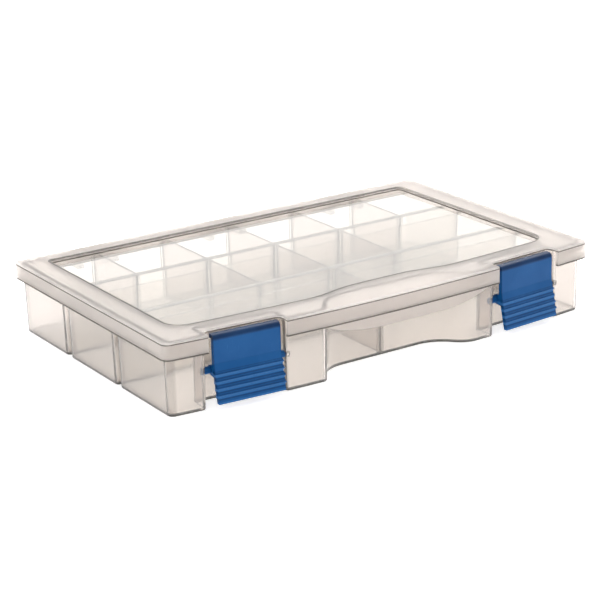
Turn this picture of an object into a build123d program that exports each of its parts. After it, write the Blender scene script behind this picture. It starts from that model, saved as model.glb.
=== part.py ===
from build123d import *
import math
import os

os.makedirs("parts", exist_ok=True)

# All sizes are in millimetres. X runs along the box, Y from front to back, Z up.
# The origin lies on the flat underside of the tray, midway between the ends.

# Overall sizes of the closed box
length = 279.0
corner_depth = 171.0
front_bow = 8.0
height = 41.9

# Lid
rim_thickness = 1.8
skirt_depth = 10.0
skirt_thickness = 2.0
lid_front_round = 4.5
lid_back_round = 3.0
lid_edge_round = 1.1
smallest_round = 1.0
window_step = 2.3
window_thickness = 1.4
window_wall = 1.6
window_side_margin = 16.2
window_back_margin = 11.0
window_front_margin = 19.2
window_bow = 5.7
window_front_round = 10.5
window_back_round = 3.0

# Wave in the front of the window, where the rim widens
wave_rise = 4.9
wave_left = -44.0
wave_left_run = 34.0
wave_right = 54.0
wave_right_run = 36.0

# Finger lip that hangs below the middle of the lid's skirt
lip_drop = 6.7
lip_thickness = 1.6
lip_set_back = 0.9
lip_left_from_latch = 42.5
lip_left_run = 40.0
lip_right_from_latch = 26.5
lip_right_run = 38.0
lip_end_round = 8.0

# Tray
skirt_clearance = 0.84
tray_bow = 7.2
tray_wall = 1.6
draft = 0.9
tray_floor = 1.6
tray_front_round = 4.5
tray_back_round = 3.0
tray_foot_round = 1.2
bay_round = 3.2
partition_slot = 1.6
back_row_depth = 53.4
row_pitch = 56.5
window_clearance = 0.3

# Finger recess in the front of the tray
recess_depth = 8.7
recess_left_from_latch = 46.5
recess_left_run = 22.0
recess_left_round = 4.0
recess_right_from_latch = 35.5
recess_right_run = 30.0
recess_right_round = 16.0

# Cross dividers and the ribs that guide them
divider_thickness = 1.4
divider_clearance = 0.15
divider_pitch = 45.5
back_divider_places = (-2, -1, 0, 1, 2)
middle_divider_places = (-1, 0, 1)
front_divider_x = 2.0
guide_rib_width = 1.0
guide_rib_depth = 0.9

# Latches
latch_end_gap = 47.0
latch_width = 38.8
latch_side_gap = 3.3
latch_plate = 2.4
latch_set_back = 2.0
latch_bottom_z = 4.2
latch_flare = 4.4
latch_flare_z = 25.0
latch_flange = 2.2
latch_flange_z = 40.4
latch_flange_reach = 6.5
latch_top_round = 2.4
latch_ear = 2.2
latch_ear_round = 2.6
latch_ear_top = 3.6
latch_ear_foot = 3.2
latch_pivot_z = 20.6
latch_pivot_inset = 7.0
latch_pin_radius = 2.0
latch_pin_clearance = 0.08
latch_pin_end_gap = 0.2
latch_rib_count = 4
latch_rib_pitch = 3.6
latch_rib_height = 0.8
latch_rib_overhang = 0.6
latch_rib_slope = 1.3
latch_rib_crest = 0.6
latch_rib_fall = 1.1
latch_rib_first_z = 20.9
pocket_depth = 15.6
notch_depth = 8.5
notch_round = 4.0
pocket_edge_round = 2.5
keeper_wall = 1.6
keeper_drop = 3.4

# Hinge at the back
hinge_places = (-88.0, 0.0, 88.0)
hinge_back_gap = 3.1
hinge_rise = 2.3
hinge_rod_radius = 1.6
hinge_rod_clearance = 0.08
hinge_span = 18.0
hinge_side_gap = 0.4
hinge_lug_width = 4.0
hinge_lug_radius = 2.8
hinge_root = 2.2
hinge_root_gap = 0.4
hinge_clip_wall = 1.4
hinge_clip_mouth = 84.0

# Worked out from the sizes above
half_length = length / 2
back_y = corner_depth / 2
lid_corner_y = -corner_depth / 2
rim_under_z = height - rim_thickness
skirt_z = height - skirt_depth
window_top_z = height - window_step
window_under_z = window_top_z - window_thickness
divider_top_z = window_under_z - window_clearance
tray_inset = skirt_thickness + skirt_clearance
tray_half = half_length - tray_inset
tray_back_y = back_y - tray_inset
tray_corner_y = lid_corner_y + tray_inset
lean = math.tan(math.radians(draft))
partition_back_y = tray_back_y - back_row_depth
partition_front_y = partition_back_y - row_pitch
partition_half = partition_slot / 2 + tray_wall
slot_cap_z = skirt_z
latch_x = half_length - latch_end_gap
pocket_width = latch_width + 2 * latch_side_gap
latch_turn = math.degrees(math.asin(latch_x / (half_length**2 / front_bow / 2 + front_bow / 2)))
recess_y = tray_corner_y + recess_depth
recess_left = recess_left_from_latch - latch_x
recess_right = latch_x - recess_right_from_latch
lip_left = lip_left_from_latch - latch_x
lip_right = latch_x - lip_right_from_latch
hinge_y = back_y + hinge_back_gap
hinge_z = skirt_z + hinge_rise


def arc_y(x, half, corner_y, bow):
    """Y of a front line that bows forward by bow between two corners."""
    radius = (half**2 + bow**2) / (2 * bow)
    return corner_y - bow + radius - math.sqrt(radius**2 - x**2)


def bowed_face(half, corner_y, bow, rear_y, front_round, back_round):
    """Flat outline with a straight back, straight ends and a bowed front."""
    front_left = (-half, corner_y)
    front_right = (half, corner_y)
    edges = [
        ThreePointArc(front_left, (0, corner_y - bow), front_right),
        Line(front_right, (half, rear_y)),
        Line((half, rear_y), (-half, rear_y)),
        Line((-half, rear_y), front_left),
    ]
    face = make_face(edges)
    corners = face.vertices().sort_by(Axis.Y)
    face = fillet(corners[:2], front_round)
    corners = face.vertices().filter_by(lambda v: abs(v.Y - rear_y) < 0.001)
    return fillet(corners, back_round)


def lid_face(inset):
    """Outline of the lid, drawn in by inset all round."""
    half = half_length - inset
    radius = (half_length**2 + front_bow**2) / (2 * front_bow)
    centre_y = lid_corner_y - front_bow + radius
    corner_y = centre_y - math.sqrt((radius - inset) ** 2 - half**2)
    bow = corner_y - (lid_corner_y - front_bow + inset)
    front_round = max(lid_front_round - inset, smallest_round)
    back_round = max(lid_back_round - inset, smallest_round)
    return bowed_face(half, corner_y, bow, back_y - inset, front_round, back_round)


def slab(face, low_z, high_z):
    """Solid from a flat face between two heights."""
    return extrude(Pos(0, 0, low_z) * face, amount=high_z - low_z)


def drafted(face, low_z):
    """Solid below a face at the tray's top, whose sides lean in on the way down."""
    top = Pos(0, 0, rim_under_z) * face
    return extrude(top, amount=rim_under_z - low_z, dir=(0, 0, -1), taper=draft)


def block(low, high):
    """Box between two corners."""
    size = [b - a for a, b in zip(low, high)]
    centre = [(a + b) / 2 for a, b in zip(low, high)]
    return Pos(*centre) * Box(*size)


def s_bend(start, end, start_radius):
    """Two tangent arcs that leave and arrive along X."""
    run = end[0] - start[0]
    rise = end[1] - start[1]
    both_radii = (run**2 + rise**2) / (2 * abs(rise))
    turn = math.asin(abs(run) / both_radii)
    side = math.copysign(1, rise)
    way = math.copysign(1, run)
    first = start_radius
    second = both_radii - first

    def on_first(angle):
        return (start[0] + way * first * math.sin(angle), start[1] + side * first * (1 - math.cos(angle)))

    def on_second(angle):
        return (end[0] - way * second * math.sin(angle), end[1] - side * second * (1 - math.cos(angle)))

    return [
        ThreePointArc(start, on_first(turn / 2), on_first(turn)),
        ThreePointArc(on_second(turn), on_second(turn / 2), end),
    ]


def window_face(grow):
    """Outline of the clear window, with the wave in its front edge."""
    half = half_length - window_side_margin
    front_y = lid_corner_y + window_front_margin
    plain = bowed_face(
        half, front_y, window_bow, back_y - window_back_margin, window_front_round, window_back_round
    )
    left_y = arc_y(wave_left, half, front_y, window_bow)
    right_y = arc_y(wave_right, half, front_y, window_bow)
    crest_y = min(left_y, right_y) + wave_rise
    crest_left = (wave_left + wave_left_run, crest_y)
    crest_right = (wave_right - wave_right_run, crest_y)
    left_radius = (wave_left_run**2 + (crest_y - left_y) ** 2) / (4 * (crest_y - left_y))
    right_radius = (wave_right_run**2 + (crest_y - right_y) ** 2) / (4 * (crest_y - right_y))
    below_y = front_y - 2 * window_bow
    edges = s_bend((wave_left, left_y), crest_left, left_radius)
    edges += [Line(crest_left, crest_right)]
    edges += s_bend((wave_right, right_y), crest_right, right_radius)
    edges += [
        Line((wave_right, right_y), (wave_right, below_y)),
        Line((wave_right, below_y), (wave_left, below_y)),
        Line((wave_left, below_y), (wave_left, left_y)),
    ]
    waved = plain - make_face(edges)
    if grow == 0:
        return waved
    return offset(waved, amount=grow, kind=Kind.ARC)


def at_latch(side, shape):
    """Put a shape drawn about a latch's place on the lid's front line there."""
    y = arc_y(latch_x, half_length, lid_corner_y, front_bow)
    return Pos(side * latch_x, y, 0) * Rot(0, 0, side * latch_turn) * shape


def notch_face():
    """Outline of the notch that the lid has for a latch, drawn about the latch's place."""
    face = Pos(0, (notch_depth - front_bow) / 2) * Rectangle(pocket_width, notch_depth + front_bow)
    inner = face.vertices().filter_by(lambda v: v.Y > 0)
    return fillet(inner, notch_round)


def finger_lip():
    """Crescent below the middle of the skirt, set a little behind its face."""
    low_z = skirt_z - lip_drop
    flat_left = (lip_left + lip_left_run, low_z)
    flat_right = (lip_right - lip_right_run, low_z)
    edges = [
        *s_bend((lip_left, skirt_z), flat_left, lip_end_round),
        Line(flat_left, flat_right),
        *s_bend((lip_right, skirt_z), flat_right, lip_end_round),
        Line((lip_right, skirt_z), (lip_right, skirt_z + lip_thickness)),
        Line((lip_right, skirt_z + lip_thickness), (lip_left, skirt_z + lip_thickness)),
        Line((lip_left, skirt_z + lip_thickness), (lip_left, skirt_z)),
    ]
    crescent = extrude(Plane.XZ * make_face(edges), amount=half_length)
    ring = lid_face(lip_set_back) - lid_face(lip_set_back + lip_thickness)
    return slab(ring, low_z, skirt_z + lip_thickness) & crescent


def hinge_clip(x):
    """Open ring on the back of the lid's skirt that snaps over a rod of the tray."""
    inner = hinge_rod_radius + hinge_rod_clearance
    outer = inner + hinge_clip_wall
    ring = Circle(outer) - Circle(inner)
    reach = 2 * outer
    half_mouth = math.radians(hinge_clip_mouth / 2)
    mouth_x = reach * math.sin(half_mouth)
    mouth_y = -reach * math.cos(half_mouth)
    mouth = make_face(Polyline((0, 0), (mouth_x, mouth_y), (-mouth_x, mouth_y), close=True))
    arm_front = -hinge_back_gap - skirt_thickness / 2
    arm_back = -hinge_rod_radius
    arm = Pos((arm_front + arm_back) / 2, (outer - inner) / 2) * Rectangle(arm_back - arm_front, outer + inner)
    profile = (ring - mouth) + (arm - Circle(inner))
    clip = extrude(Plane.YZ * profile, amount=hinge_span / 2, both=True)
    return Pos(x, hinge_y, hinge_z) * clip


def make_lid():
    """Lid: flat rim, skirt, sunken window, finger lip and hinge clips in one moulding."""
    lid = slab(lid_face(0), skirt_z, height)
    lid = fillet(lid.faces().sort_by(Axis.Z)[-1].outer_wire().edges(), lid_edge_round)
    lid -= slab(lid_face(skirt_thickness), skirt_z, rim_under_z)
    lid += slab(window_face(window_wall), window_under_z, rim_under_z)
    lid -= slab(window_face(0), window_top_z, height)
    for side in (-1, 1):
        lid -= at_latch(side, slab(notch_face(), skirt_z, height))
        wall = block(
            (-latch_width / 2, notch_depth, rim_under_z - keeper_drop),
            (latch_width / 2, notch_depth + keeper_wall, rim_under_z),
        )
        lid += at_latch(side, wall)
    lid += finger_lip()
    for x in hinge_places:
        lid += hinge_clip(x)
    return lid


def front_cut():
    """Finger recess and latch pockets, as seen from above."""
    far_y = lid_corner_y - 2 * front_bow
    left_y = arc_y(recess_left, tray_half, tray_corner_y, tray_bow)
    right_y = arc_y(recess_right, tray_half, tray_corner_y, tray_bow)
    floor_left = (recess_left + recess_left_run, recess_y)
    floor_right = (recess_right - recess_right_run, recess_y)
    edges = s_bend((recess_left, left_y), floor_left, recess_left_round)
    edges += [Line(floor_left, floor_right)]
    edges += s_bend((recess_right, right_y), floor_right, recess_right_round)
    edges += [
        Line((recess_right, right_y), (recess_right, far_y)),
        Line((recess_right, far_y), (recess_left, far_y)),
        Line((recess_left, far_y), (recess_left, left_y)),
    ]
    cut = make_face(edges)
    pocket = Pos(0, pocket_depth / 2) * Rectangle(pocket_width, pocket_depth)
    pocket += Pos(0, -front_bow) * Rectangle(pocket_width, 2 * front_bow)
    for side in (-1, 1):
        cut += at_latch(side, pocket)
    return cut


def tray_face():
    """Outline of the tray with its recess and pockets."""
    whole = bowed_face(
        tray_half, tray_corner_y, tray_bow, tray_back_y, tray_front_round, tray_back_round
    )
    whole -= front_cut()
    front = whole.vertices().filter_by(lambda v: v.Y < tray_corner_y)
    pocket_edges = front.sort_by(lambda v: abs(abs(v.X) - latch_x))[:4]
    return fillet(pocket_edges, pocket_edge_round)


def bay_faces(whole):
    """Outlines of the three rows, with a narrow slot between each two."""
    far = 2 * tray_half
    edges_y = (
        (partition_back_y + partition_slot / 2, far),
        (partition_front_y + partition_slot / 2, partition_back_y - partition_slot / 2),
        (-far, partition_front_y - partition_slot / 2),
    )
    bays = []
    for low_y, high_y in edges_y:
        band = Pos(0, (low_y + high_y) / 2) * Rectangle(2 * far, high_y - low_y)
        bay = whole & band
        corners = bay.vertices().filter_by(
            lambda v: abs(abs(v.X) - tray_half) < 0.01 and min(abs(v.Y - low_y), abs(v.Y - high_y)) < 0.01
        )
        bays.append(fillet(corners, bay_round))
    return bays


def row_walls():
    """Y, at the tray's top, of the two faces between which each row's cross dividers stand."""
    back_row = (partition_back_y + partition_half, tray_back_y - tray_wall)
    middle_row = (partition_front_y + partition_half, partition_back_y - partition_half)
    front_row = (recess_y + tray_wall, partition_front_y - partition_half)
    return back_row, middle_row, front_row


def divider_list():
    """Name, X and row faces of each cross divider."""
    back_row, middle_row, front_row = row_walls()
    places = []
    for number, place in enumerate(back_divider_places, 1):
        places.append((f"divider_back_{number}", place * divider_pitch, back_row))
    for number, place in enumerate(middle_divider_places, 1):
        places.append((f"divider_middle_{number}", place * divider_pitch, middle_row))
    places.append(("divider_front", front_divider_x, front_row))
    return places


def row_plate(low_x, high_x, row, gap, low_z, high_z):
    """Upright plate across a row, whose ends lean with the row's walls and keep a gap to them."""
    low_end = gap + lean * (rim_under_z - low_z)
    high_end = gap + lean * (rim_under_z - high_z)
    outline = Polyline(
        (row[0] + low_end, low_z),
        (row[1] - low_end, low_z),
        (row[1] - high_end, high_z),
        (row[0] + high_end, high_z),
        close=True,
    )
    return Pos(low_x, 0, 0) * extrude(Plane.YZ * make_face(outline), amount=high_x - low_x)


def guide_ribs():
    """Upright ribs either side of each divider's two ends."""
    ribs = []
    half_gap = divider_thickness / 2 + divider_clearance
    top_z = divider_top_z - guide_rib_depth
    for _, x, row in divider_list():
        for low_x in (x - half_gap - guide_rib_width, x + half_gap):
            high_x = low_x + guide_rib_width
            pair = row_plate(low_x, high_x, row, -tray_wall / 2, tray_floor / 2, top_z)
            pair -= row_plate(low_x, high_x, row, guide_rib_depth, 0, height)
            ribs += pair.solids()
    return ribs


def hinge_lugs(x):
    """Two lugs that reach out below the lid's skirt, with a rod between them."""
    rod_half = hinge_span / 2 + hinge_side_gap
    root_top = -hinge_rise - hinge_root_gap
    root_low = root_top - hinge_root
    root_start = tray_back_y - tray_wall / 2 - hinge_y
    root = Pos(root_start / 2, (root_top + root_low) / 2) * Rectangle(-root_start, hinge_root)
    post = Pos(0, root_low / 2) * Rectangle(2 * hinge_lug_radius, -root_low)
    profile = root + post + Circle(hinge_lug_radius)
    lug = extrude(Plane.YZ * profile, amount=hinge_lug_width)
    rod = extrude(Plane.YZ * Circle(hinge_rod_radius), amount=rod_half + hinge_lug_width / 2, both=True)
    both = rod + Pos(rod_half, 0, 0) * lug + Pos(-rod_half - hinge_lug_width, 0, 0) * lug
    return Pos(x, hinge_y, hinge_z) * both


def make_tray():
    """Tray: three joined rows with hollow walls between them, pockets, recess and hinge rods."""
    whole = tray_face()
    bays = bay_faces(whole)
    tray = drafted(bays[0], 0)
    for bay in bays[1:]:
        tray += drafted(bay, 0)
    tray = fillet(tray.faces().filter_by(Plane.XY).group_by(Axis.Z)[0].edges(), tray_foot_round)
    tray += drafted(whole, slot_cap_z)
    for bay in bays:
        tray -= drafted(offset(bay, amount=-tray_wall, kind=Kind.ARC), tray_floor)
    inner_half = tray_half - tray_wall
    for wall_y in (partition_back_y, partition_front_y):
        tray -= block(
            (-inner_half, wall_y - tray_wall - partition_half, divider_top_z),
            (inner_half, wall_y + tray_wall + partition_half, height),
        )
    for rib in guide_ribs():
        tray += rib
    pin_hole = Cylinder(
        latch_pin_radius + latch_pin_clearance, pocket_width + 4 * tray_wall, rotation=(0, 90, 0)
    )
    for side in (-1, 1):
        tray -= at_latch(side, Pos(0, latch_pivot_inset, latch_pivot_z) * pin_hole)
    for x in hinge_places:
        tray += hinge_lugs(x)
    return tray


def make_divider(x, row):
    """Plain upright plate across a row."""
    low_x = x - divider_thickness / 2
    high_x = x + divider_thickness / 2
    return row_plate(low_x, high_x, row, divider_clearance, tray_floor, divider_top_z)


def latch_profile():
    """Side view of the latch's plate and top flange; X is Y of the box, Y is its height."""
    face_y = latch_set_back
    back_face_y = face_y + latch_plate
    under_z = latch_flange_z - latch_flange
    foot_y = face_y - latch_flare
    outline = Polyline(
        (foot_y, latch_bottom_z),
        (foot_y + latch_plate, latch_bottom_z),
        (back_face_y, latch_flare_z),
        (back_face_y, under_z),
        (latch_flange_reach, under_z),
        (latch_flange_reach, latch_flange_z),
        (face_y, latch_flange_z),
        (face_y, latch_flare_z),
        close=True,
    )
    face = make_face(outline)
    crown = face.vertices().filter_by(
        lambda v: abs(v.X - face_y) < 0.01 and abs(v.Y - latch_flange_z) < 0.01
    )
    return fillet(crown, latch_top_round)


def latch_ribs():
    """Raised grip ribs across the flared foot."""
    ribs = []
    drop = latch_flare_z - latch_bottom_z
    for number in range(latch_rib_count):
        z = latch_rib_first_z - number * latch_rib_pitch
        y = latch_set_back - latch_flare * (latch_flare_z - z) / drop
        crest_z = z - latch_rib_slope - latch_rib_crest
        section = Polyline(
            (y + latch_plate / 2, z),
            (y - latch_rib_height, z - latch_rib_slope),
            (y - latch_rib_height, crest_z),
            (y + latch_plate / 2, crest_z - latch_rib_fall),
            close=True,
        )
        half = latch_width / 2 + latch_rib_overhang
        ribs.append(extrude(Plane.YZ * make_face(section), amount=half, both=True))
    return ribs


def make_latch(side):
    """Latch: plate with a hook flange, grip ribs, two ears and two pivot stubs."""
    latch = extrude(Plane.YZ * latch_profile(), amount=latch_width / 2, both=True)
    for rib in latch_ribs():
        latch += rib
    ear_outline = Polyline(
        (latch_set_back, latch_pivot_z + latch_ear_top),
        (latch_set_back, latch_pivot_z - latch_ear_foot),
        (latch_pivot_inset, latch_pivot_z - latch_ear_round),
        (latch_pivot_inset, latch_pivot_z + latch_ear_round),
        close=True,
    )
    ear_face = make_face(ear_outline) + Pos(latch_pivot_inset, latch_pivot_z) * Circle(latch_ear_round)
    ear = extrude(Plane.YZ * ear_face, amount=latch_ear)
    latch += Pos(latch_width / 2 - latch_ear, 0, 0) * ear
    latch += Pos(-latch_width / 2, 0, 0) * ear
    wall_shift = lean * (rim_under_z - latch_pivot_z)
    stub_length = latch_side_gap + wall_shift + tray_wall - latch_pin_end_gap
    stub = extrude(Plane.YZ * Circle(latch_pin_radius), amount=latch_ear / 2 + stub_length)
    stub = Pos(latch_width / 2 - latch_ear / 2, latch_pivot_inset, latch_pivot_z) * stub
    latch += stub
    latch += mirror(stub, about=Plane.YZ)
    return at_latch(side, latch)


def save(name, shape):
    """Write one node."""
    shape.label = name
    export_step(shape, f"parts/{name}.step")


save("tray", make_tray())
save("lid", make_lid())
save("latch_left", make_latch(-1))
save("latch_right", make_latch(1))
for divider_name, divider_x, divider_row in divider_list():
    save(divider_name, make_divider(divider_x, divider_row))
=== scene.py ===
import math

import bmesh
import bpy
from bpy.props import FloatProperty, FloatVectorProperty, PointerProperty
from mathutils import Matrix, Vector


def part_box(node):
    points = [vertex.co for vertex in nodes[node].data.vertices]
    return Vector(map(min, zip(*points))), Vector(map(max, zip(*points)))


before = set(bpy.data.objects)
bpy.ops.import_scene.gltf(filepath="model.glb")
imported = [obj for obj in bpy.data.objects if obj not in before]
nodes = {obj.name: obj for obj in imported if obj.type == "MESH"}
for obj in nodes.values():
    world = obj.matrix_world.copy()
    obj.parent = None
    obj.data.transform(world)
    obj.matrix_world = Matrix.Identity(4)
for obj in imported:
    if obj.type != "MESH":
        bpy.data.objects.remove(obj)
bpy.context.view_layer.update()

bl_info = {
    "name": "Tackle Box",
    "version": (1, 0, 0),
    "blender": (4, 5, 0),
    "location": "3D View > Sidebar > Tackle Box",
    "description": "Finishes a see-through tackle box and sets its studio",
    "category": "Object",
}

lid_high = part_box("lid")[1]
tray_low, tray_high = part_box("tray")


# Colours and sizes that a user would change

def colour(name, description, default):
    return FloatVectorProperty(
        name=name, description=description, default=default, size=4, min=0.0, max=1.0, subtype="COLOR"
    )


def share(name, description, default):
    return FloatProperty(
        name=name, description=description, default=default, min=0.0, max=1.0, subtype="FACTOR"
    )


def size(name, description, default):
    return FloatProperty(name=name, description=description, default=default, unit="LENGTH")


def turn(name, description, degrees):
    return FloatProperty(
        name=name, description=description, default=math.radians(degrees), unit="ROTATION"
    )


def power(name, description, default):
    return FloatProperty(name=name, description=description, default=default, unit="POWER")


class PlasticSettings(bpy.types.PropertyGroup):
    """Colours, clarity and finish of the clear plastic."""

    tray_tint: colour("Tray tint", "Colour of the tray's outer walls", (0.90, 0.85, 0.815, 1.0))
    # Painted shade: the end walls are tinted darker than the front and back
    end_shade_tint: colour("End tint", "Colour of the tray's end walls", (0.715, 0.672, 0.64, 1.0))
    inner_tint: colour("Inner tint", "Colour of the floor and the inner walls", (1.0, 0.975, 0.94, 1.0))
    lid_tint: colour("Lid tint", "Colour of the lid's frosted rim", (0.87, 0.825, 0.79, 1.0))
    window_tint: colour("Window tint", "Colour of the lid's clear window", (1.0, 0.978, 0.945, 1.0))
    divider_tint: colour("Divider tint", "Colour of the loose dividers", (0.79, 0.74, 0.715, 1.0))
    # Painted shade: dark lines along the thin edges of the clear plastic
    edge_shade_tint: colour("Edge tint", "Colour seen along thin edges", (0.36, 0.34, 0.31, 1.0))
    # Painted shade: dark lines on the foot, the skirt's lower edge and under the rim's edge
    shade_line_tint: colour("Line tint", "Colour of the lines on foot, skirt and rim", (0.07, 0.06, 0.05, 1.0))
    # Painted highlight along the rim's rounded outer edge
    rim_highlight_tint: colour("Shine tint", "Colour along the rim's rounded edge", (0.97, 0.95, 0.93, 1.0))
    # Painted shade on the step round the window and on the line along its edge
    step_shade_tint: colour("Wall tint", "Colour of the step and line round the window", (0.22, 0.21, 0.20, 1.0))
    tray_clarity: share("Tray clarity", "Share of light that the tray lets through", 0.90)
    lid_clarity: share("Lid clarity", "Share of light that the lid lets through", 0.85)
    tray_frost: share("Tray frost", "Roughness of the tray's outer walls", 0.13)
    inner_frost: share("Inner frost", "Roughness of the floor, inner walls and dividers", 0.03)
    rim_frost: share("Rim frost", "Roughness of the lid's rim", 0.75)
    window_frost: share("Window frost", "Roughness of the lid's window", 0.004)
    tray_grain: share("Tray grain", "Share of the grain on the tray and the dividers", 0.08)
    scuffs: share("Scuffs", "How strongly rubbed patches show", 0.5)
    grain: size("Grain", "Size of the moulded grain", 0.0004)
    grain_depth: size("Grain depth", "Height of the moulded grain", 0.000012)
    edge_width: size("Edge width", "Width of the line along an edge", 0.0007)
    lid_edge: share("Lid edge", "Width of the lid's edge lines as a share of the tray's", 0.45)
    # The foot, skirt and rim lines set here are painted shade
    foot_line: size("Foot line", "Height and width of the dark line round the foot", 0.0008)
    skirt_drop: size("Skirt drop", "From the top of the lid to the skirt's lower edge", 0.010)
    skirt_line: size("Skirt line", "Width of the dark line on the skirt's lower edge", 0.0008)
    rim_round: size("Rim round", "Radius of the rim's outer edge", 0.0011)
    rim_line: size("Rim line", "Width of the dark line under the rim's edge", 0.0006)
    row_side: size("Row side", "From the tray's end to its inner finish", 0.005)
    row_front: size("Row front", "From the tray's front to its inner finish", 0.021)
    row_back: size("Row back", "From the back of the hinge to the inner finish", 0.012)
    hinge_back: size("Hinge back", "From the back of the hinge to the end of its finish", 0.008)
    floor_top: size("Floor top", "Height up to which the floor's finish reaches", 0.002)
    fade: size("Fade", "Width over which one finish gives way to another", 0.001)


class WindowSettings(bpy.types.PropertyGroup):
    """Outline of the lid's window, as moulded."""

    side: size("Side", "From the lid's end to the window", 0.0162)
    back: size("Back", "Where the back edge lies", 0.0745)
    back_round: size("Back round", "Radius of the back corners", 0.003)
    front: size("Front", "Where the front corners lie", -0.0663)
    front_round: size("Front round", "Radius of the front corners", 0.0105)
    bow: size("Bow", "How far the front edge bows forward", 0.0057)
    crest: size("Crest", "Where the wave's crest lies", -0.0664)
    wave_left: size("Wave left", "Where the wave starts", -0.044)
    crest_left: size("Crest left", "Where the crest starts", -0.010)
    crest_right: size("Crest right", "Where the crest ends", 0.018)
    wave_right: size("Wave right", "Where the wave ends", 0.054)
    depth: size("Depth", "How far the window lies below the rim", 0.0021)
    fade: size("Fade", "Width over which the frost fades out", 0.0004)
    # The line round the window is painted shade
    line: size("Line", "Width of the dark line round the window", 0.0012)


class LatchSettings(bpy.types.PropertyGroup):
    """Colours and finish of the latches."""

    blue: colour("Blue", "Colour of the latch", (0.0025, 0.066, 0.215, 1.0))
    # Painted shade: darker blue under the top edge, between the ribs and along the edges
    shade_navy: colour("Navy", "Colour under the top edge and between ribs", (0.002, 0.012, 0.045, 1.0))
    # Painted highlight on the ribs, and real wear on rubbed places
    lit_and_worn_blue: colour("Worn blue", "Colour of the ribs and of rubbed places", (0.05, 0.19, 0.46, 1.0))
    satin: share("Satin", "Roughness of the latch's face", 0.38)
    gloss: share("Gloss", "Strength of the latch's reflections", 0.16)
    # Strength of the painted highlight on the ribs and of the wear on rubbed places
    wear: share("Wear", "How far ribs and rubbed places go pale", 0.5)
    scuffs: share("Scuffs", "How strongly rubbed patches show", 0.35)
    edge_width: size("Edge width", "Width of the dark line along an edge", 0.0009)
    grain: size("Grain", "Size of the moulded grain", 0.0006)
    grain_depth: size("Grain depth", "Height of the moulded grain", 0.00004)
    rib_top: size("Rib top", "Height where the uppermost rib starts", 0.0209)
    rib_pitch: size("Rib pitch", "Distance between ribs", 0.0036)
    # Painted shade band under the latch's top
    band: size("Band", "Depth of the dark band below the top", 0.0034)


class StudioSettings(bpy.types.PropertyGroup):
    """Floor, lights and camera."""

    azimuth: turn("Azimuth", "How far the camera stands round to the left", -33.05)
    elevation: turn("Elevation", "How far the camera looks down", 18.99)
    roll: turn("Roll", "Tilt of the picture", -1.58)
    distance: size("Distance", "From the camera to its aim", 1.10437)
    aim_x: size("Aim X", "Where the camera aims along the box", -0.00235)
    aim_z: size("Aim Z", "How high the camera aims", 0.01279)
    lens: FloatProperty(name="Lens", description="Focal length", default=115.53, unit="CAMERA")
    floor_size: size("Floor size", "Width of the pale floor", 9.0)
    floor_gap: size("Floor gap", "From the underside of the box down to the floor", 0.0002)
    floor_colour: colour("Floor colour", "Colour of the floor", (0.93, 0.93, 0.93, 1.0))
    floor_glow: FloatProperty(name="Floor glow", description="Light from the white table", default=0.62)
    sky: FloatProperty(name="Sky", description="Strength of the light on the bright side", default=1.1)
    dim_side: share("Dim side", "Share of the sky's light on the dark side", 0.34)
    key_power: power("Key power", "Power of the main soft light", 13.0)
    fill_power: power("Fill power", "Power of the fill light", 6.0)


# Shared masks; a pair gives where a mask starts and where it is full

EDGE_FADE = (0.9995, 0.975)
LEVEL_FADE = (0.97, 0.9)
BAND_FADE = (0.6, 0.4)

# Plastic and its wear; lengths in metres

REFRACTION = 1.49
GRAIN_DETAIL = 2.0
PATCH_SPREAD = 0.02
PATCH_DETAIL = 3.0
PATCH_FADE = (0.42, 0.72)
SCRATCH_ANGLES = (20.0, -48.0)
SCRATCH_STRETCH = (8.0, 0.35, 1.0)
SCRATCH_SCALE = 260.0
SCRATCH_DETAIL = 2.0
SCRATCH_FADE = (0.66, 0.74)
SCRATCH_SHARE = 0.6
SCUFF_FROST = 0.12

# Lid; shares of the window's depth and line and of the rim's round

WINDOW_FLOOR = (0.85, 0.9)
WINDOW_WALL = (1.3, 1.2)
# Painted highlight stripe on the window's step
PALE_HEIGHT = 0.7
PALE_WIDTH = 0.2
NEAR_WINDOW = (3.0, 2.0)
# Width of the painted highlight on the rim's round, as a share of it
RIM_HIGHLIGHT_WIDTH = 0.7

# Depth below the lid's top where the line round the window stops, in metres

RIM_TOP = (0.0004, 0.0002)

# Latches; ribs and valleys lie at shares of the ribs' pitch

RIB_START = (-0.1, 0.0)
RIB_ABOVE = (0.32, 0.4)
RIB_BELOW = (0.84, 0.76)
VALLEY_ABOVE = (0.82, 0.88)
VALLEY_BELOW = (0.08, 0.02)
# Strengths of the painted shade in the valleys and overall
VALLEY_SHADE_SHARE = 0.55
PAINTED_SHADE_SHARE = 0.85
SHADE_SCALE = 90.0
SHADE_DETAIL = 3.0
LATCH_SCUFF_SATIN = 0.2

# Studio

WHITE = (1.0, 1.0, 1.0, 1.0)
FLOOR_ROUGHNESS = 0.9
BRIGHT_SIDE = (0.45, 0.55, 0.70)
BRIGHT_FADE = (-0.6, 0.8)
KEY_PLACE = (0.75, 0.55, 1.05)
KEY_WIDTH = 1.0
FILL_PLACE = (-1.2, -0.9, 0.9)
FILL_WIDTH = 1.2
SENSOR_WIDTH = 36.0
CLIP_START = 0.01
LIGHT_BOUNCES = 32


# Nodes and masks

def shader_tree(material):
    material.use_nodes = True
    tree = material.node_tree
    tree.nodes.clear()
    return tree


def add(tree, kind, **inputs):
    """New node with its plain input values set by name."""
    node = tree.nodes.new(kind)
    for name, value in inputs.items():
        node.inputs[name.replace("_", " ")].default_value = value
    return node


def own_place(tree):
    """The object's own coordinates."""
    return add(tree, "ShaderNodeTexCoord").outputs["Object"]


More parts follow.
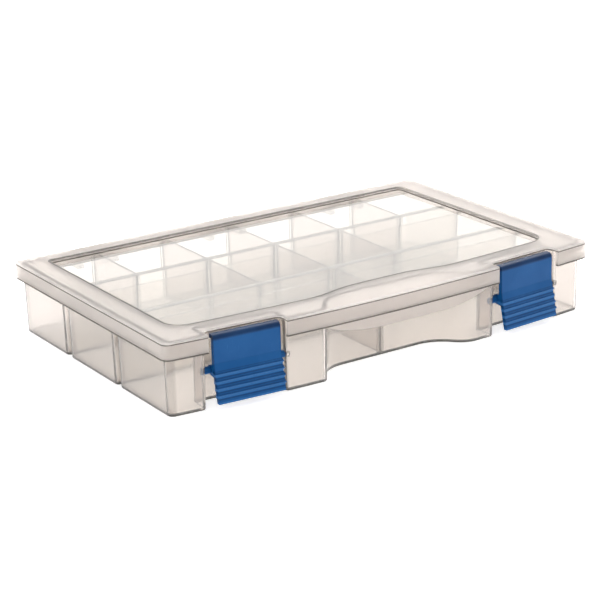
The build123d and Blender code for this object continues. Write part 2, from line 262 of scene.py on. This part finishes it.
def own_axes(tree):
    """X, Y and Z of the object's own coordinates."""
    axes = add(tree, "ShaderNodeSeparateXYZ")
    tree.links.new(own_place(tree), axes.inputs["Vector"])
    return axes.outputs["X"], axes.outputs["Y"], axes.outputs["Z"]


def calc(tree, operation, first, second=0.0, third=0.0):
    """Math node; each value is a number or a socket."""
    node = tree.nodes.new("ShaderNodeMath")
    node.operation = operation
    for index, value in enumerate((first, second, third)):
        if isinstance(value, (int, float)):
            node.inputs[index].default_value = value
        else:
            tree.links.new(value, node.inputs[index])
    return node.outputs[0]


def step(tree, value, start, full):
    """Smooth mask that goes from 0 at start to 1 at full."""
    ramp = tree.nodes.new("ShaderNodeMapRange")
    ramp.interpolation_type = "SMOOTHSTEP"
    ramp.inputs["From Min"].default_value = start
    ramp.inputs["From Max"].default_value = full
    tree.links.new(value, ramp.inputs["Value"])
    return ramp.outputs["Result"]


def scaled(length, shares):
    """Limits of a mask, from shares of a length."""
    return [part * length for part in shares]


def all_of(tree, *masks):
    """Product of several masks."""
    result = masks[0]
    for mask in masks[1:]:
        result = calc(tree, "MULTIPLY", result, mask)
    return result


def any_of(tree, *masks):
    """Strongest of several masks."""
    result = masks[0]
    for mask in masks[1:]:
        result = calc(tree, "MAXIMUM", result, mask)
    return result


def band(tree, value, middle, width):
    """1 near the middle, fading to 0 about half the width away from it."""
    away = calc(tree, "ABSOLUTE", calc(tree, "SUBTRACT", value, middle))
    return step(tree, away, *scaled(width, BAND_FADE))


def blend(tree, mask, plain, masked):
    """Mix of two colours or numbers by a mask; each is a value or a socket."""
    mix = tree.nodes.new("ShaderNodeMix")
    mix.data_type = "FLOAT" if isinstance(masked, float) else "RGBA"
    ends = [item for item in mix.inputs if item.enabled][1:]
    tree.links.new(mask, mix.inputs["Factor"])
    for end, value in zip(ends, (plain, masked)):
        if isinstance(value, bpy.types.NodeSocket):
            tree.links.new(value, end)
        else:
            end.default_value = value
    return [item for item in mix.outputs if item.enabled][0]


def noise(tree, place, scale, detail):
    """Noise from 0 to 1; scale is a number or a socket."""
    cloud = add(tree, "ShaderNodeTexNoise", Detail=detail)
    tree.links.new(place, cloud.inputs["Vector"])
    if isinstance(scale, (int, float)):
        cloud.inputs["Scale"].default_value = scale
    else:
        tree.links.new(scale, cloud.inputs["Scale"])
    return cloud.outputs["Fac"]


# Shared effects

def new_group(name, *inputs):
    """Node group with named number inputs that puts out a mask."""
    tree = bpy.data.node_groups.new(name, "ShaderNodeTree")
    for label in inputs:
        tree.interface.new_socket(label, in_out="INPUT", socket_type="NodeSocketFloat")
    tree.interface.new_socket("Mask", in_out="OUTPUT", socket_type="NodeSocketFloat")
    return tree, tree.nodes.new("NodeGroupInput"), tree.nodes.new("NodeGroupOutput")


def grain_group():
    """Fine moulded grain, as a height from 0 to 1."""
    tree, given, result = new_group("moulded_grain", "Size")
    scale = calc(tree, "DIVIDE", 1.0, given.outputs["Size"])
    grain = noise(tree, own_place(tree), scale, GRAIN_DETAIL)
    tree.links.new(grain, result.inputs["Mask"])
    return tree


def scuff_group():
    """Rubbed patches with fine scratches in two directions."""
    tree, given, result = new_group("scuffs", "Amount")
    place = own_place(tree)
    cloud = noise(tree, place, 1 / PATCH_SPREAD, PATCH_DETAIL)
    patches = step(tree, cloud, *PATCH_FADE)
    marks = 0.0
    for angle in SCRATCH_ANGLES:
        rotation = (0.0, 0.0, math.radians(angle))
        turned = add(tree, "ShaderNodeMapping", Scale=SCRATCH_STRETCH, Rotation=rotation)
        tree.links.new(place, turned.inputs["Vector"])
        streaks = noise(tree, turned.outputs["Vector"], SCRATCH_SCALE, SCRATCH_DETAIL)
        marks = calc(tree, "MAXIMUM", marks, step(tree, streaks, *SCRATCH_FADE))
    scratched = calc(tree, "MULTIPLY_ADD", marks, SCRATCH_SHARE, 1 - SCRATCH_SHARE)
    rubbed = all_of(tree, patches, scratched, given.outputs["Amount"])
    tree.links.new(rubbed, result.inputs["Mask"])
    return tree


def edge_group():
    """1 along sharp edges, 0 on open faces."""
    tree, given, result = new_group("edges", "Width")
    rounded = add(tree, "ShaderNodeBevel")
    tree.links.new(given.outputs["Width"], rounded.inputs["Radius"])
    facing = tree.nodes.new("ShaderNodeNewGeometry")
    bend = tree.nodes.new("ShaderNodeVectorMath")
    bend.operation = "DOT_PRODUCT"
    tree.links.new(rounded.outputs["Normal"], bend.inputs[0])
    tree.links.new(facing.outputs["Normal"], bend.inputs[1])
    tree.links.new(step(tree, bend.outputs["Value"], *EDGE_FADE), result.inputs["Mask"])
    return tree


def upright_group():
    """1 on upright faces, 0 on level ones."""
    tree, _, result = new_group("upright")
    place = add(tree, "ShaderNodeTexCoord")
    facing = add(tree, "ShaderNodeSeparateXYZ")
    tree.links.new(place.outputs["Normal"], facing.inputs["Vector"])
    level = calc(tree, "ABSOLUTE", facing.outputs["Z"])
    tree.links.new(step(tree, level, *LEVEL_FADE), result.inputs["Mask"])
    return tree


def effect(tree, builder, name, **inputs):
    """Shared effect placed in a material with its own values."""
    shared = bpy.data.node_groups.get(name) or builder()
    node = tree.nodes.new("ShaderNodeGroup")
    node.node_tree = shared
    for label, value in inputs.items():
        node.inputs[label].default_value = value
    return node.outputs["Mask"]


# Materials

def plastic(name, tint, frost, clarity):
    """Moulded plastic that lets part of the light through."""
    material = bpy.data.materials.new(name)
    tree = shader_tree(material)
    output = add(tree, "ShaderNodeOutputMaterial")
    shader = add(tree, "ShaderNodeBsdfPrincipled", IOR=REFRACTION, Transmission_Weight=clarity)
    shader.inputs["Roughness"].default_value = frost
    shader.inputs["Base Color"].default_value = tint
    tree.links.new(shader.outputs["BSDF"], output.inputs["Surface"])
    return material, tree, shader


def grain_bump(tree, shader, grain, depth, where=1.0):
    """Raise the moulded grain on the shader's surface; where is a share or a mask."""
    bump = add(tree, "ShaderNodeBump", Distance=depth)
    height = effect(tree, grain_group, "moulded_grain", Size=grain)
    tree.links.new(calc(tree, "MULTIPLY", height, where), bump.inputs["Height"])
    tree.links.new(bump.outputs["Normal"], shader.inputs["Normal"])


def worn_plastic_with_edge_shade(tree, shader, look, tint, frost, frosted, line=1.0):
    """Grain, scuffs and painted shade lines along edges over a tint and a roughness; each is a value or a
    socket.
    """
    edges = effect(tree, edge_group, "edges", Width=line * look.edge_width)
    rubbed = effect(tree, scuff_group, "scuffs", Amount=look.scuffs)
    # Painted shade: edges blend towards the dark edge tint
    tree.links.new(blend(tree, edges, tint, tuple(look.edge_shade_tint)), shader.inputs["Base Color"])
    worn = calc(tree, "MULTIPLY", rubbed, frosted)
    tree.links.new(calc(tree, "MULTIPLY_ADD", worn, SCUFF_FROST, frost), shader.inputs["Roughness"])
    grain_bump(tree, shader, look.grain, look.grain_depth, frosted)


def dress(node_name, material):
    """Give a node of the frame its material."""
    mesh = nodes[node_name].data
    mesh.materials.clear()
    mesh.materials.append(material)


# Steps

class BOX_OT_finish_tray(bpy.types.Operator):
    """Finish the tray"""

    bl_idname = "box.finish_tray"
    bl_label = "Finish tray"

    def execute(self, context):
        look = context.scene.box_plastic
        material, tree, shader = plastic(
            "frosted_tray", look.tray_tint, look.tray_frost, look.tray_clarity
        )
        x, y, z = own_axes(tree)
        across = calc(tree, "ABSOLUTE", x)
        ends = self.end_mask(tree, look, across)
        inner = self.inner_mask(tree, look, across, y, z)
        sides = effect(tree, upright_group, "upright")
        foot = all_of(tree, sides, band(tree, z, look.foot_line, look.foot_line))
        # Painted shade on the end walls
        tint = blend(tree, ends, tuple(look.tray_tint), tuple(look.end_shade_tint))
        tint = blend(tree, inner, tint, tuple(look.inner_tint))
        # Painted shade line round the foot
        tint = blend(tree, foot, tint, tuple(look.shade_line_tint))
        frost = blend(tree, inner, look.tray_frost, look.inner_frost)
        worn_plastic_with_edge_shade(tree, shader, look, tint, frost, look.tray_grain)
        dress("tray", material)
        return {"FINISHED"}

    def end_mask(self, tree, look, across):
        """1 on the end walls, where a darker tint paints shade, 0 further in."""
        end = tray_high[0] - look.row_side
        return step(tree, across, end, end + look.fade)

    def inner_mask(self, tree, look, across, y, z):
        """1 on the floor, the walls between the rows and the hinge lugs, 0 on the outer walls."""
        side = tray_high[0] - look.row_side
        front = tray_low[1] + look.row_front
        back = tray_high[1] - look.row_back
        hinge = tray_high[1] - look.hinge_back
        within = step(tree, across, side, side - look.fade)
        behind_front = step(tree, y, front, front + look.fade)
        before_back = step(tree, y, back, back - look.fade)
        floor = step(tree, z, look.floor_top + look.fade / 2, look.floor_top)
        lugs = step(tree, y, hinge - look.fade / 2, hinge)
        inside = all_of(tree, within, any_of(tree, behind_front, floor), before_back)
        return any_of(tree, inside, lugs)


class BOX_OT_finish_lid(bpy.types.Operator):
    """Finish the lid: frosted rim and skirt, clear window"""

    bl_idname = "box.finish_lid"
    bl_label = "Finish lid"

    def execute(self, context):
        look = context.scene.box_plastic
        outline = context.scene.box_window
        material, tree, shader = plastic("clear_lid", look.lid_tint, look.rim_frost, look.lid_clarity)
        x, y, z = own_axes(tree)
        beyond = self.beyond_window(tree, outline, x, y)
        drop = calc(tree, "SUBTRACT", lid_high[2], z)
        sides = effect(tree, upright_group, "upright")
        near = step(tree, beyond, *scaled(outline.line, NEAR_WINDOW))
        outside = calc(tree, "SUBTRACT", 1.0, near)
        window, wall, pale, line = self.window_masks(tree, outline, beyond, drop, sides, near)
        dark, painted_rim_highlight = self.rim_masks(tree, look, drop, sides, outside)
        tint = blend(tree, window, tuple(look.lid_tint), tuple(look.window_tint))
        # Painted highlight along the rim's rounded outer edge
        tint = blend(tree, painted_rim_highlight, tint, tuple(look.rim_highlight_tint))
        # Painted shade lines on the skirt's lower edge and under the rim's edge
        tint = blend(tree, dark, tint, tuple(look.shade_line_tint))
        # Painted shade on the step and the line round the window
        tint = blend(tree, any_of(tree, wall, line), tint, tuple(look.step_shade_tint))
        # Painted highlight stripe on the step
        tint = blend(tree, pale, tint, tuple(look.lid_tint))
        clear = any_of(tree, window, wall)
        frost = blend(tree, clear, look.rim_frost, look.window_frost)
        frosted = calc(tree, "SUBTRACT", 1.0, clear)
        worn_plastic_with_edge_shade(tree, shader, look, tint, frost, frosted, look.lid_edge)
        dress("lid", material)
        return {"FINISHED"}

    def window_masks(self, tree, outline, beyond, drop, sides, near):
        """Masks of the window, of the step round it where shade is painted, of a painted highlight stripe
        on that and of a painted shade line above it.
        """
        depth = outline.depth
        inside = step(tree, beyond, outline.fade, 0.0)
        window = all_of(tree, inside, step(tree, drop, *scaled(depth, WINDOW_FLOOR)))
        wall = all_of(tree, sides, near, step(tree, drop, *scaled(depth, WINDOW_WALL)))
        pale = all_of(tree, wall, band(tree, drop, PALE_HEIGHT * depth, PALE_WIDTH * depth))
        line = band(tree, beyond, outline.line / 2, outline.line)
        return window, wall, pale, all_of(tree, line, step(tree, drop, *RIM_TOP))

    def rim_masks(self, tree, look, drop, sides, outside):
        """Masks of the painted shade lines on the skirt and under the rim's edge, and of the painted
        highlight above.
        """
        skirt_edge = band(tree, drop, look.skirt_drop - look.skirt_line / 2, look.skirt_line)
        under_rim = band(tree, drop, look.rim_round + look.rim_line / 2, look.rim_line)
        dark = all_of(tree, sides, outside, any_of(tree, skirt_edge, under_rim))
        painted_rim_highlight = band(tree, drop, look.rim_round / 2, RIM_HIGHLIGHT_WIDTH * look.rim_round)
        return dark, all_of(tree, outside, painted_rim_highlight)

    def beyond_window(self, tree, outline, x, y):
        """How far a point lies outside the window's outline, below 0 inside it."""
        half = lid_high[0] - outline.side
        across = calc(tree, "DIVIDE", x, half)
        squared = calc(tree, "MULTIPLY", across, across)
        bowed = calc(tree, "MULTIPLY_ADD", squared, outline.bow, outline.front - outline.bow)
        rise = step(tree, x, outline.wave_left, outline.crest_left)
        fall = step(tree, x, outline.wave_right, outline.crest_right)
        lift = calc(tree, "SUBTRACT", outline.crest, bowed)
        front = calc(tree, "MULTIPLY_ADD", lift, calc(tree, "MULTIPLY", rise, fall), bowed)
        past_side = calc(tree, "SUBTRACT", calc(tree, "ABSOLUTE", x), half)
        past_front = calc(tree, "SUBTRACT", front, y)
        past_back = calc(tree, "SUBTRACT", y, outline.back)
        front_corner = self.past_corner(tree, past_side, past_front, outline.front_round)
        back_corner = self.past_corner(tree, past_side, past_back, outline.back_round)
        return any_of(tree, front_corner, back_corner)

    def past_corner(self, tree, past_side, past_end, radius):
        """Distance beyond two edges that meet in a round corner."""
        side = calc(tree, "MAXIMUM", calc(tree, "ADD", past_side, radius), 0.0)
        end = calc(tree, "MAXIMUM", calc(tree, "ADD", past_end, radius), 0.0)
        squares = calc(tree, "MULTIPLY_ADD", side, side, calc(tree, "MULTIPLY", end, end))
        return calc(tree, "SUBTRACT", calc(tree, "SQRT", squares), radius)


class BOX_OT_finish_dividers(bpy.types.Operator):
    """Finish the loose dividers"""

    bl_idname = "box.finish_dividers"
    bl_label = "Finish dividers"

    def execute(self, context):
        look = context.scene.box_plastic
        tint = tuple(look.divider_tint)
        material, tree, shader = plastic("clear_divider", tint, look.inner_frost, look.tray_clarity)
        worn_plastic_with_edge_shade(tree, shader, look, tint, look.inner_frost, look.tray_grain)
        for name in nodes:
            if name.startswith("divider"):
                dress(name, material)
        return {"FINISHED"}


class BOX_OT_finish_latches(bpy.types.Operator):
    """Finish the two latches"""

    bl_idname = "box.finish_latches"
    bl_label = "Finish latches"

    def execute(self, context):
        look = context.scene.box_latch
        material = bpy.data.materials.new("blue_latch")
        tree = shader_tree(material)
        output = add(tree, "ShaderNodeOutputMaterial")
        shader = add(tree, "ShaderNodeBsdfPrincipled", IOR=REFRACTION, Specular_IOR_Level=look.gloss)
        height = own_axes(tree)[2]
        top = max(corner[2] for corner in nodes["latch_left"].bound_box)
        edges = effect(tree, edge_group, "edges", Width=look.edge_width)
        rubbed = effect(tree, scuff_group, "scuffs", Amount=look.scuffs)
        shades = noise(tree, own_place(tree), SHADE_SCALE, SHADE_DETAIL)
        ribs, valleys = self.rib_masks(tree, look, height)
        # Painted shade under the top edge
        top_shade_band = step(tree, height, top - look.band, top - look.band / 2)
        valleys = calc(tree, "MULTIPLY", valleys, VALLEY_SHADE_SHARE)
        # Painted shade: top band, rib valleys and edges, the edges varied by noise
        dark = any_of(tree, top_shade_band, valleys, calc(tree, "MULTIPLY", edges, shades))
        dark = calc(tree, "MULTIPLY", dark, PAINTED_SHADE_SHARE)
        # Painted highlight on the ribs, and real wear on rubbed places
        pale = calc(tree, "MULTIPLY", any_of(tree, rubbed, ribs), look.wear)
        tone = blend(tree, dark, tuple(look.blue), tuple(look.shade_navy))
        tone = blend(tree, pale, tone, tuple(look.lit_and_worn_blue))
        satin = calc(tree, "MULTIPLY_ADD", rubbed, LATCH_SCUFF_SATIN, look.satin)
        tree.links.new(tone, shader.inputs["Base Color"])
        tree.links.new(satin, shader.inputs["Roughness"])
        grain_bump(tree, shader, look.grain, look.grain_depth)
        tree.links.new(shader.outputs["BSDF"], output.inputs["Surface"])
        for side in ("left", "right"):
            dress("latch_" + side, material)
        return {"FINISHED"}

    def rib_masks(self, tree, look, height):
        """Masks of the ribs' crests with the faces below, where a highlight is painted, and of the valleys
        between ribs, where shade is painted.
        """
        drop = calc(tree, "SUBTRACT", look.rib_top, height)
        phase = calc(tree, "FRACT", calc(tree, "DIVIDE", drop, look.rib_pitch))
        ribbed = step(tree, drop, *scaled(look.rib_pitch, RIB_START))
        ribs = all_of(tree, step(tree, phase, *RIB_ABOVE), step(tree, phase, *RIB_BELOW), ribbed)
        valleys = any_of(tree, step(tree, phase, *VALLEY_ABOVE), step(tree, phase, *VALLEY_BELOW))
        return ribs, calc(tree, "MULTIPLY", valleys, ribbed)


class BOX_OT_set_stage(bpy.types.Operator):
    """Set the floor, the lights and the camera"""

    bl_idname = "box.set_stage"
    bl_label = "Set stage"

    def execute(self, context):
        studio = context.scene.box_studio
        self.lay_floor(context, studio)
        self.set_sky(context, studio)
        self.hang_panel(context, "key", KEY_PLACE, KEY_WIDTH, studio.key_power)
        self.hang_panel(context, "fill", FILL_PLACE, FILL_WIDTH, studio.fill_power)
        self.place_camera(context, studio)
        return {"FINISHED"}

    def lay_floor(self, context, studio):
        """Pale floor that gives off light, like a white table."""
        mesh = bpy.data.meshes.new("studio_floor")
        form = bmesh.new()
        bmesh.ops.create_grid(form, x_segments=1, y_segments=1, size=studio.floor_size / 2)
        form.to_mesh(mesh)
        form.free()
        floor = bpy.data.objects.new("studio_floor", mesh)
        floor.location.z = tray_low[2] - studio.floor_gap
        context.scene.collection.objects.link(floor)
        material = bpy.data.materials.new("pale_floor")
        tree = shader_tree(material)
        output = add(tree, "ShaderNodeOutputMaterial")
        shader = add(tree, "ShaderNodeBsdfPrincipled", Roughness=FLOOR_ROUGHNESS)
        shader.inputs["Base Color"].default_value = studio.floor_colour
        shader.inputs["Emission Color"].default_value = WHITE
        shader.inputs["Emission Strength"].default_value = studio.floor_glow
        tree.links.new(shader.outputs["BSDF"], output.inputs["Surface"])
        mesh.materials.append(material)

    def set_sky(self, context, studio):
        """Soft light from all round, brighter on one side."""
        world = bpy.data.worlds.new("soft_sky")
        world.use_nodes = True
        tree = world.node_tree
        background = tree.nodes["Background"]
        place = add(tree, "ShaderNodeTexCoord")
        slope = tree.nodes.new("ShaderNodeVectorMath")
        slope.operation = "DOT_PRODUCT"
        slope.inputs[1].default_value = Vector(BRIGHT_SIDE).normalized()
        tree.links.new(place.outputs["Generated"], slope.inputs[0])
        bright = step(tree, slope.outputs["Value"], *BRIGHT_FADE)
        dim = studio.sky * studio.dim_side
        strength = calc(tree, "MULTIPLY_ADD", bright, studio.sky - dim, dim)
        background.inputs["Color"].default_value = WHITE
        tree.links.new(strength, background.inputs["Strength"])
        context.scene.world = world

    def hang_panel(self, context, name, place, width, watts):
        """Square soft light that faces the box."""
        light = bpy.data.lights.new(name, "AREA")
        light.shape = "SQUARE"
        light.size = width
        light.energy = watts
        lamp = bpy.data.objects.new(name, light)
        aim = Vector((0.0, 0.0, lid_high[2] / 2)) - Vector(place)
        lamp.rotation_euler = aim.to_track_quat("-Z", "Y").to_euler()
        lamp.location = place
        context.scene.collection.objects.link(lamp)

    def place_camera(self, context, studio):
        """Camera at its angle, turned about its own line of sight by the roll."""
        away = Vector((
            math.sin(studio.azimuth) * math.cos(studio.elevation),
            -math.cos(studio.azimuth) * math.cos(studio.elevation),
            math.sin(studio.elevation),
        ))
        level = Vector((0.0, 0.0, 1.0)).cross(away).normalized()
        rise = away.cross(level)
        right = level * math.cos(studio.roll) + rise * math.sin(studio.roll)
        up = rise * math.cos(studio.roll) - level * math.sin(studio.roll)
        place = Vector((studio.aim_x, 0.0, studio.aim_z)) + away * studio.distance
        data = bpy.data.cameras.new("camera")
        data.lens = studio.lens
        data.sensor_width = SENSOR_WIDTH
        data.clip_start = CLIP_START
        camera = bpy.data.objects.new("camera", data)
        camera.matrix_world = Matrix((
            (right.x, up.x, away.x, place.x),
            (right.y, up.y, away.y, place.y),
            (right.z, up.z, away.z, place.z),
            (0.0, 0.0, 0.0, 1.0),
        ))
        context.scene.collection.objects.link(camera)
        context.scene.camera = camera


# Panel and registration

class BOX_PT_tools(bpy.types.Panel):
    """Lists the steps that finish the box"""

    bl_idname = "BOX_PT_tools"
    bl_label = "Tackle Box"
    bl_space_type = "VIEW_3D"
    bl_region_type = "UI"
    bl_category = "Tackle Box"

    def draw(self, context):
        for operator in STEPS:
            self.layout.operator(operator.bl_idname)


STEPS = (
    BOX_OT_finish_tray,
    BOX_OT_finish_lid,
    BOX_OT_finish_dividers,
    BOX_OT_finish_latches,
    BOX_OT_set_stage,
)
CLASSES = (PlasticSettings, WindowSettings, LatchSettings, StudioSettings, *STEPS, BOX_PT_tools)


def register():
    for item in CLASSES:
        bpy.utils.register_class(item)
    bpy.types.Scene.box_plastic = PointerProperty(type=PlasticSettings)
    bpy.types.Scene.box_window = PointerProperty(type=WindowSettings)
    bpy.types.Scene.box_latch = PointerProperty(type=LatchSettings)
    bpy.types.Scene.box_studio = PointerProperty(type=StudioSettings)


def unregister():
    del bpy.types.Scene.box_studio
    del bpy.types.Scene.box_latch
    del bpy.types.Scene.box_window
    del bpy.types.Scene.box_plastic
    for item in reversed(CLASSES):
        bpy.utils.unregister_class(item)


def main():
    register()
    bpy.context.scene.view_settings.view_transform = "Standard"
    bpy.context.scene.cycles.max_bounces = LIGHT_BOUNCES
    bpy.context.scene.cycles.transmission_bounces = LIGHT_BOUNCES
    bpy.ops.box.finish_tray()
    bpy.ops.box.finish_lid()
    bpy.ops.box.finish_dividers()
    bpy.ops.box.finish_latches()
    bpy.ops.box.set_stage()


if __name__ == "__main__":
    main()
